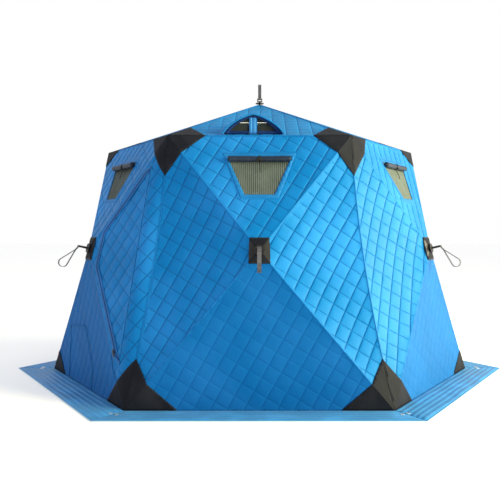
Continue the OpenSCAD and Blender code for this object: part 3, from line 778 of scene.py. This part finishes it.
for k, wall in enumerate(WALLS):
    bm = cut_flat(OUTLINE, wall_cuts(k), [window(0.004), HUB_HOLE])
    if k == DOOR:
        drop(bm, beyond_fold)
    mark_creases(bm)
    cloth = wall_piece("wall_cloth", k, bm, wall_lift(k), WALL_CLOTH)

    # window: a smooth frame, a ribbed mesh and the rolled cover above it
    outer, inner = window(0.02), window(0.0)
    bm = cut_flat(outer, (), [inner], cell=0.012, turn=90, shares=(0,))
    rims = ring_lines(outer) + ring_lines(inner)
    lift = laid_on(k, rims, lambda xy, rim: 0.0008 + 0.0014 * smooth(rim / 0.004))
    wall_piece("window_frame", k, bm, lift, FRAME_CLOTH, 0.0025)
    bm = cut_flat(window(0.006), cell=0.0105, turn=90, shares=(0, 0.5))
    lift = laid_on(k, ring_lines(inner), lambda xy, rim: (
        0.0006 * np.cos(xy[:, 0] * 2 * math.pi / 0.0105) - 0.0035 * smooth(rim / 0.05) - 0.0025))
    pane = wall_piece("window_mesh", k, bm, lift, WINDOW_MESH, 0.0008)
    roll = window_cover(k)
    window_tie(k)

    # square patch round the hub, folded over the pole lines
    tips = [tuple(HUB + (q - HUB) * PATCH / math.hypot(np.linalg.norm(q - HUB), BULGE)) for q in OUTLINE]
    bm = cut_flat(tips, POLE_LINES, [HUB_HOLE], cell=0.009, turn=90, shares=(0,))
    mark_creases(bm)
    lift = laid_on(k, ring_lines(tips), lambda xy, rim: 0.0022 + 0.003 * smooth(rim / 0.01))
    wall_piece("hub_patch", k, bm, lift, BOOT_CLOTH, 0.0012)

    top_boots, base_boots = wall_boots("top", k), wall_boots("base", k)
    if k == 0:
        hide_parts("window_panels", "side_panels", "base_panels")
        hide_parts("window_panes")
        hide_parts("window_rolls")
        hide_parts("top_corner_boots")
        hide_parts("base_corner_boots")


# ---------- door ----------

def door_plane(p):
    return np.array(((p - FOLD_LOW) @ DOOR_X, (p - FOLD_LOW) @ DOOR_Y))


DOOR_HUB = door_plane(HUB3)
DOWN, UP = unit(DOOR_HUB - door_plane(WALL3[1])), unit(DOOR_HUB - door_plane(WALL3[2]))


def door_outline(grow=0.0):
    """The door's outline in its own plane, with every edge moved out by grow."""
    low_in, high_in = np.array((DOWN[1], -DOWN[0])) * 0.034, np.array((-UP[1], UP[0])) * 0.034
    p = np.array([
        (0.09, 0.005), (DOOR_FAR - 0.07, 0.005), np.array((DOOR_FAR, 0)) + 0.08 * UP + high_in,
        DOOR_HUB - 0.15 * UP + high_in, DOOR_HUB - 0.15 * DOWN + low_in, 0.11 * DOWN + low_in,
    ])
    a, b = unit(p - np.roll(p, 1, 0)), unit(np.roll(p, -1, 0) - p)
    na, nb = np.stack([a[:, 1], -a[:, 0]], 1), np.stack([b[:, 1], -b[:, 0]], 1)
    return p + grow * (na + nb) / (1 + (na * nb).sum(1))[:, None]


def door_points(xy, h):
    """Points of the door's plane, lifted by h, in the shelter's frame."""
    p = FOLD_LOW + xy[:, :1] * DOOR_X + xy[:, 1:2] * DOOR_Y + np.broadcast_to(h, (len(xy),))[:, None] * DOOR_Z
    return from_wall(DOOR, p)


def quilt_on_door(seed, rims):
    """Quilting that runs on from the wall's own."""
    def lift(xy):
        on_flat_wall = (FOLD_LOW + xy[:, :1] * DOOR_X + xy[:, 1:2] * DOOR_Y)[:, :2]
        a, b = quilt_place(on_flat_wall, CELL, TURN)
        edge = to_segments(xy, rims)
        return door_points(xy, quilt_relief(a, b, CELL, edge, seed)), None, (a, b, edge)
    return lift


DOOR_TURN = TURN - math.degrees(math.atan2(DOOR_X[1], DOOR_X[0]))
flap_rim = [tuple(p) for p in door_outline()]
bm = cut_flat(flap_rim, turn=DOOR_TURN)
flap, _ = finish_cloth("door_cloth", bm, quilt_on_door(6.5, ring_lines(flap_rim)), WALL_CLOTH)
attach(flap, "door_flap")
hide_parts("door_flap")

rim = [(0.0, 0.0), (DOOR_FAR, 0.0), tuple(DOOR_HUB - 0.02 * UP), tuple(DOOR_HUB - 0.02 * DOWN)]
opening = [tuple(p) for p in door_outline(0.003)]
bm = cut_flat(rim, [((0, 0.005), (DOOR_FAR, 0.005))], [opening], turn=DOOR_TURN)
drop(bm, lambda xy: (xy[:, 1] < 0.005) & (xy[:, 0] > 0.087) & (xy[:, 0] < DOOR_FAR - 0.067))
lift = quilt_on_door(5.1, ring_lines(rim) + ring_lines(opening))
surround, _ = finish_cloth("door_frame_cloth", bm, lift, WALL_CLOTH)
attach(surround, "door_surround")
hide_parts("door_surround")


# zip: a tape on each side of the gap, each with its row of teeth
def zip_path(grow):
    return [tuple(q) for q in np.roll(door_outline(grow), -1, 0)]


def zip_tape(name, grow, body):
    """Tape beside the gap, a little thicker along its middle."""
    points, faces = ribbon(zip_path(grow), 0.014)
    from_end = np.minimum(np.linalg.norm(points - points[0], axis=1), 0.5)
    n = len(points) // 3
    heights = np.full(len(points), 0.0004)
    heights[n:2 * n] += 0.0006
    tape = solid(name, door_points(points, heights), faces, ZIP_TAPE, "fabric_wall")
    with_marks(tape, points, from_end)
    thicken(tape, 0.0012, 1)
    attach(tape, body)


def zip_teeth(name, grow, body, pitch=0.0075):
    """Small moulded teeth on one side of the zip."""
    path = np.array(zip_path(grow))
    box = [(0, 1, 5, 4), (1, 2, 6, 5), (2, 3, 7, 6), (3, 0, 4, 7), (4, 5, 6, 7), (3, 2, 1, 0)]
    parts = []
    for p, q in zip(path[:-1], path[1:]):
        ahead = unit(q - p)
        long, wide = ahead * 0.0021, np.array((-ahead[1], ahead[0])) * 0.0017
        for i in range(int(np.linalg.norm(q - p) / pitch)):
            foot = np.array([-long - wide, long - wide, long + wide, wide - long])
            middle = p + ahead * (i + 0.5) * pitch
            low, high = door_points(middle + foot, 0.0008), door_points(middle + 0.7 * foot, 0.0034)
            parts.append((np.concatenate([low, high]), box))
    points, faces = joined(parts)
    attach(solid(name, points, faces, ZIP_TEETH, "hub_plastic", False), body)


zip_tape("zip_tape_outer", 0.010, "door_surround")
zip_tape("zip_tape_inner", -0.007, "door_flap")
zip_teeth("zip_teeth_outer", 0.0048, "door_surround")
zip_teeth("zip_teeth_inner", -0.0018, "door_flap")


# seams sewn on the door wall: the low panel and the end of the zip
def seam_on_door_wall(name, line, width, height, thick):
    place, faces = ribbon(line, width)
    points, weights = wall_surface(DOOR, place, height)
    seam = with_marks(solid(name, points, faces, PIPING_CLOTH, "fabric_wall"), place)
    thicken(seam, thick, 0)
    follow_hub(seam)


low_panel = [(-0.315, 0.005), (-0.315, 0.309), (-0.03, 0.324), (0.12, 0.126), (0.124, 0.005)]
seam_on_door_wall("low_panel_seam", low_panel, 0.007, 0.0006, 0.0012)
seam_on_door_wall("zip_end_seam", [(0.43, 0.24), (0.464, 0.166), (0.607, 0.012)], 0.008, 0.0008, 0.0014)


# ---------- roof ----------

ROOF_TRIANGLE = [(-EAVE / 2, 0), (EAVE / 2, 0), (0, ROOF_SLANT)]
PEAK_HALF, PEAK_Y = EAVE / 2 * PEAK_HOLE / ROOF_SLANT, ROOF_SLANT - PEAK_HOLE
ROOF_RIM = ROOF_TRIANGLE[:2] + [(PEAK_HALF, PEAK_Y), (-PEAK_HALF, PEAK_Y)]
VENT_HOLE = [(VENT_X - 0.085, 0.055), (VENT_X + 0.085, 0.055), (VENT_X + 0.085, 0.19), (VENT_X - 0.085, 0.19)]


def roof_lift(k):
    def lift(xy):
        a, b = quilt_place(xy, CELL, 90)
        border = to_segments(xy, ring_lines(ROOF_TRIANGLE))
        relief = quilt_relief(a, b, CELL, border, 2.1 * k + 0.4, DEEP * 0.7)
        return from_roof(k, np.c_[xy, relief]), np.clip(xy[:, 1] / ROOF_SLANT, 0, 1), (a, b, border)
    return lift


def cap_lift(k, rims):
    def lift(xy):
        rim = to_segments(xy, rims)
        points = from_roof(k, np.c_[xy, boot_height(rim)])
        return points, np.clip(xy[:, 1] / ROOF_SLANT, 0, 1), (xy[:, 0], xy[:, 1], rim)
    return lift


def roof_piece(name, k, bm, lift, material, thick=0.004):
    """Cloth on roof facet k."""
    cloth, weights = finish_cloth(f"{name}_{WALLS[k]}", bm, lift, material, thick)
    if k == 0:
        even_blend(cloth)
    else:
        even_blend(cloth)
    return cloth


# the boots' upper halves, over the ridges
caps = []
for side in (-1, 1):
    corner = np.array((side * EAVE / 2, 0.0))
    up_ridge = (np.array((0, ROOF_SLANT)) - corner) * RIDGE_BOOT / RIDGE
    caps.append((corner, corner - (side * BOOTS["top"][0], 0), corner + up_ridge))
for k in range(6):
    bm = cut_flat(ROOF_RIM, holes=[VENT_HOLE] if k == 0 else (), turn=90)
    cloth = roof_piece("roof_cloth", k, bm, roof_lift(k), ROOF_CLOTH)
    if k < 2:
        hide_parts(("vent_panel", "roof_panels")[k])
    lift = cap_lift(k, [(edge, ridge) for _, edge, ridge in caps])
    roof_piece("roof_boots", k, stitched(caps), lift, BOOT_CLOTH, 0.0016)


# ---------- piping on the corner seams, the eaves and the ridges ----------

def seam_line(k, low, high, count, lift=0.0):
    """Points on the corner seam on wall k's right, between two shares of its height."""
    v = np.linspace(low, high, count)[:, None]
    return wall_surface(k, OUTLINE[1] + (OUTLINE[2] - OUTLINE[1]) * v, lift)[0]


def eave_line(k, x):
    return from_roof(k, np.stack([x, 0 * x, 0 * x], 1))


def ridge_line(k, t):
    """Points on the ridge on facet k's right, t from the eave to the peak."""
    return from_roof(k, np.stack([EAVE / 2 * (1 - t), ROOF_SLANT * t, 0 * t], 1))


def piping(name, tubes, material, slot, shares=None):
    """Piping that rides on the tent, or, when shares are given, is baked in place."""
    piece = cloth_solid(name, *joined(tubes), material, slot)
    if shares is None:
        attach(piece, "tent")
    else:
        even_blend(piece)


seams, eaves, boot_seams = [], [], []
for k in range(6):
    seams.append(sweep(seam_line(k, 0.24 / SEAM, 1 - 0.21 / SEAM, 40), 0.0026))
    eaves.append(sweep(eave_line(k, np.linspace(0.19 - EAVE / 2, EAVE / 2 - 0.19, 24)), 0.003))
    for low, high in ((0.002, BOOTS["base"][2] / SEAM), (1 - BOOTS["top"][2] / SEAM, 0.998)):
        boot_seams.append(sweep(seam_line(k, low, high, 12, 0.0006), 0.0034))
    for side in (-1, 1):
        x = side * np.linspace(EAVE / 2 - BOOTS["top"][0], EAVE / 2, 12)
        boot_seams.append(sweep(eave_line(k, x), 0.0036))
boot_share, ridge_share = np.linspace(0, RIDGE_BOOT / RIDGE, 12), np.linspace(0.21, 0.98, 30)
boot_ridges = [sweep(ridge_line(k, boot_share), 0.0034) for k in range(6)]
ridges = [sweep(ridge_line(k, ridge_share), 0.0026) for k in range(6)]
piping("boot_piping", boot_seams, BOOT_CLOTH, "boot_fabric")
piping("boot_ridge_piping", boot_ridges, BOOT_CLOTH, "boot_fabric", boot_share)
piping("seam_piping", seams, PIPING_CLOTH, "fabric_wall")
piping("eave_piping", eaves, PIPING_CLOTH, "fabric_roof")
piping("ridge_piping", ridges, PIPING_CLOTH, "fabric_roof", ridge_share)


# ---------- roof vent ----------

ROUND = 1.42


def mouth(t):
    """Round the vent's mouth, with flatter sides than half an ellipse: share of its half width and height."""
    c, s = np.cos(t), np.sin(t)
    return np.sign(c) * abs(c) ** (2 / ROUND), abs(s) ** (2 / ROUND)


def above(x, y, out, rise=0.0):
    """Places straight above points of the front facet: x from the vent's middle, y up it, out of it."""
    x, y, out, rise = np.broadcast_arrays(x, y, out, rise)
    return np.stack([VENT_X + x, y + rise * ROOF_SIN, out + rise * ROOF_COS], 1)


def arch(t, s, inset=0.0):
    """Point on the hood: t goes round the arch, s from its mouth to its point behind."""
    close = 1 - s
    across, high = mouth(t)
    rise = (VENT_H - inset) * close ** 1.08 * high
    return above((VENT_W / 2 - inset) * close * across, 0.018 + s * (VENT_RUN - 0.02), 0.0025, rise)


def vent_pane(side):
    """Half of the mesh behind the mouth: columns of points from its middle out."""
    points = []
    for x in np.linspace(0.024, half_w, 22):
        top = half_h * max(0.0, 1 - (x / (half_w + 0.004)) ** ROUND) ** (1 / ROUND)
        points.append(above(side * x, 0.039, 0.004, np.linspace(0.006, max(top, 0.008), 12)))
    return np.concatenate(points), [q if side > 0 else q[::-1] for q in grid_faces(22, 12, flip=True)]


half_w, half_h = VENT_W / 2 - 0.034, VENT_H - 0.02
tt, ss = np.meshgrid(np.linspace(0, math.pi, 49), np.linspace(0, 0.985, 34), indexing="ij")
tt, ss = tt.ravel(), ss.ravel()
p = arch(tt, ss, 0.002)
p[:, 2] *= 1 + 0.012 * np.sin(tt * 9 + 1) * np.sin(ss * 7) * np.sin(tt)
place, faces = np.c_[tt * 0.12, ss * 0.3], grid_faces(49, 34)
hood = with_marks(solid("vent_hood_cloth", from_roof(0, p), faces, HOOD_CLOTH, "fabric_hood"), place)
thicken(hood, 0.0025)
p = arch(tt, ss * 0.9 + 0.004, 0.007)
lining = with_marks(solid("vent_lining", from_roof(0, p), faces, LINING, "fabric_hood"), place)
points, faces = sweep(from_roof(0, arch(np.linspace(0.0, math.pi, 60), np.zeros(60))), 0.0042, 10)
binding = cloth_solid("vent_binding", points, faces, FRAME_CLOTH, "fabric_hood")

points, faces = joined([vent_pane(-1), vent_pane(1)])
panes = with_marks(solid("vent_mesh", from_roof(0, points), faces, VENT_MESH, "window_mesh"), points)

# a navy edge and a pale tape across the mesh
across, high = mouth(np.linspace(0, math.pi, 41))
rims = ((half_w, half_h), (VENT_W / 2 - 0.004, VENT_H - 0.004))
band = [above(w * across, 0.031, 0.004, h * high) for w, h in rims]
sill_x = np.linspace(-1, 1, 21)
low_sill = above(sill_x * (VENT_W / 2 - 0.006), 0.031, 0.001)
high_sill = above(sill_x * (VENT_W / 2 - 0.012), 0.031, 0.001, 0.016)
sill = np.concatenate([low_sill, high_sill])
points, faces = joined([(np.concatenate(band), grid_faces(2, 41)), (sill, grid_faces(2, 21))])
edge_band = with_marks(solid("vent_edge_band", from_roof(0, points), faces, LINING, "fabric_hood"), points)
thicken(edge_band, 0.002)
tape_rise = 0.056
reach = (1 - (tape_rise / half_h) ** ROUND) ** (1 / ROUND) * half_w
path = above(np.linspace(-reach, reach, 20), 0.0365, 0.003, tape_rise)
points, faces = sweep(from_roof(0, path), 0.0016, 6)
line_tape = cloth_solid("vent_pale_tape", points, faces, WHITE_TAPE, "fabric_hood")

# pin of the prop, between two small blocks
tubes = [sweep(from_roof(0, above(np.linspace(-0.028, 0.028, 7), PIVOT_Y, PIVOT_Z)), 0.003, 12)]
for side in (-1, 1):
    block = from_roof(0, above(side * np.array((0.022, 0.0225, 0.0275, 0.028)), PIVOT_Y, 0.005))
    tubes.append(sweep(block, np.array((0.0046, 0.005, 0.005, 0.0046)), 14))
pin = solid("vent_prop_pin", *joined(tubes), BLACK_PLASTIC, "hub_plastic")
for obj in (hood, lining, binding, panes, edge_band, line_tape):
    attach(obj, "vent_panel")
    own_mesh(obj)
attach(pin, "vent_panel")
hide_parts("vent_hood")


def prop_strip(x0, x1, out0, out1, n=12):
    """Flat bar along the prop, between two places across it and two out of its front face."""
    x, out = np.array((x0, x1, x1, x0)), np.array((out0, out0, out1, out1))
    y, z = PIVOT_Y - out * ROOF_COS, PIVOT_Z + out * ROOF_SIN
    points = np.concatenate([from_roof(0, above(x, y, z, v)) for v in np.linspace(0.0035, PROP_H, n)])
    return points, grid_faces(n, 4, loop=True) + [(3, 2, 1, 0), tuple(range((n - 1) * 4, n * 4))]


# prop: a stiff strap in a cloth sleeve, with a paler stripe down each side
points, faces = prop_strip(-0.02, 0.02, -0.0014, 0.0014)
prop = cloth_solid("vent_prop_strap", points, faces, STRAP_CLOTH, "fabric_hood", False)
prop.modifiers.new("soft edges", "BEVEL").width = 0.0008
t = np.arange(16) * math.pi / 8
y, z = PIVOT_Y + 0.0052 * np.cos(t), PIVOT_Z + 0.0052 * np.sin(t)
points = from_roof(0, np.concatenate([above(x, y, z) for x in np.linspace(-0.019, 0.019, 9)]))
sleeve = cloth_solid("vent_prop_sleeve", points, grid_faces(9, 16, loop=True), STRAP_CLOTH, "fabric_hood")
points, faces = joined([prop_strip(x - 0.002, x + 0.002, 0.0012, 0.0021) for x in (-0.0095, 0.0095)])
stripes = cloth_solid("vent_prop_stripes", points, faces, PALE_CLOTH, "fabric_hood", False)
for obj in (prop, sleeve, stripes):
    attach(obj, "vent_prop")
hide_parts("vent_prop")


# ---------- snow skirt ----------

SKIRT_IN, SKIRT_OUT = BASE_IN + 0.0015, BASE_IN + SKIRT
HALF_IN, HALF_OUT = (r * math.tan(math.radians(30)) - 0.001 for r in (SKIRT_IN, SKIRT_OUT))
SKIRT_RIM = [(-HALF_OUT, -SKIRT_OUT), (HALF_OUT, -SKIRT_OUT), (HALF_IN, -SKIRT_IN), (-HALF_IN, -SKIRT_IN)]


def from_eyelets(xy):
    """Distance from the nearest of a side's eyelets."""
    best = np.full(len(xy), 9.0)
    for angle in (math.radians(-120), math.radians(-60)):
        c, s = math.cos(angle), math.sin(angle)
        for off in (-EYELET_OFF, EYELET_OFF):
            eye = np.array((EYELET_REACH * c - off * s, EYELET_REACH * s + off * c))
            best = np.minimum(best, np.linalg.norm(xy - eye, axis=1))
    return best


def skirt_lift(k):
    """Low waves that die out at the edges and the eyelets."""
    def lift(xy):
        x, off = xy[:, 0], xy[:, 1] + SKIRT_OUT
        edge, eyelet = to_segments(xy, ring_lines(SKIRT_RIM)), from_eyelets(xy) - 0.013
        flatten = smooth(edge / 0.03) * smooth(eyelet / 0.03)
        wave = 0.5 + 0.5 * np.sin(x * 9 + 2.2 * k + 1.5 * np.sin(x * 4.1)) * np.cos(off * 14)
        points = turned(k, x, xy[:, 1], 0.0028 + 0.0055 * wave * flatten)
        return points, None, (off, x, to_segments(xy, [SKIRT_RIM[:2]]))
    return lift


for k in range(6):
    bm = cut_flat(SKIRT_RIM, cell=0.022, turn=90, shares=(0, 0.5))
    strip, _ = finish_cloth("skirt_cloth_" + WALLS[k], bm, skirt_lift(k), SKIRT_CLOTH, 0.0022)
    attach(strip, "tent")
    if k == 0:
        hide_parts("snow_skirt")


# ---------- the CAD's own pieces ----------

def paint(node, *materials):
    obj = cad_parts[node]
    obj.data.materials.clear()
    for m in materials:
        obj.data.materials.append(m)
    return obj


def hub_of(pole):
    """Middle of the hub that a pole is pinned to."""
    hub = "hub_roof" if pole.startswith("roof_") else "hub_" + pole[5:].rsplit("_", 2)[0]
    low, high = (np.array(c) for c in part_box(hub))
    return (low + high) / 2


def two_tone(pole, hub):
    """Moulded socket and tip in the second material, at the two ends of a rod in the first."""
    mesh = pole.data
    centres = np.array([p.center for p in mesh.polygons])
    far_off = np.linalg.norm(centres - hub, axis=1)
    near, tip = centres[far_off.argmin()], centres[far_off.argmax()]
    along = (centres - near) @ (tip - near) / np.linalg.norm(tip - near)
    ends = (along < SOCKET_END) | (along > np.linalg.norm(tip - near) - TIP_END)
    for p, end in zip(mesh.polygons, ends):
        p.material_index = int(end)


for n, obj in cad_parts.items():
    if obj.hide_render:
        continue
    if n.startswith(("pole_", "roof_pole_")):
        two_tone(paint(n, ROD, BLACK_PLASTIC), hub_of(n))
    elif n.startswith("hub_"):
        paint(n, BLACK_PLASTIC)
    elif n.startswith("pull_strap_"):
        paint(n, TAPE)
    elif n == "skirt_eyelets":
        paint(n, NICKEL)
    elif n == "zip_slider":
        paint(n, ENAMEL)


# ---------- studio ----------

FAR = 30
floor_mesh = bpy.data.meshes.new("floor")
corners = [(-FAR, -FAR, -0.0005), (FAR, -FAR, -0.0005), (FAR, 2 * FAR, -0.0005), (-FAR, 2 * FAR, -0.0005)]
floor_mesh.from_pydata(corners, [], [(0, 1, 2, 3)])
floor = bpy.data.objects.new("floor", floor_mesh)
bpy.context.scene.collection.objects.link(floor)
pale = Paint("pale_floor")
cloud = pale.range(pale.noise(pale.node("TexCoord").outputs["Object"], 2.0, 2.0), 0.3, 0.7)
colour = pale.mix(cloud, (0.97, 0.975, 0.98), (0.98, 0.98, 0.98))
floor_mesh.materials.append(pale.surface(colour=colour, rough=0.8, specular=0.1))

world = bpy.data.worlds.new("studio")
bpy.context.scene.world = world
world.use_nodes = True
world.node_tree.nodes["Background"].inputs[0].default_value = (1, 1, 1, 1)
world.node_tree.nodes["Background"].inputs[1].default_value = 1.0


def softbox(name, place, aim, size, power, colour=(1, 1, 1)):
    data = bpy.data.lights.new(name, "AREA")
    data.shape, data.size, data.size_y = "RECTANGLE", size[0], size[1]
    data.energy, data.color = power, colour
    obj = bpy.data.objects.new(name, data)
    obj.location = place
    obj.rotation_euler = (Vector(aim) - Vector(place)).to_track_quat("-Z", "Y").to_euler()
    bpy.context.scene.collection.objects.link(obj)


softbox("key", (6.5, -3.6, 2.6), (0, 0, 0.7), (3, 3), 1080, (1.0, 0.95, 0.55))
softbox("gloss", (6.2, 0.4, 1.6), (0.6, -0.4, 0.7), (1.6, 3), 380, (1.0, 0.92, 0.65))
bpy.context.scene.view_settings.view_transform = "Standard"
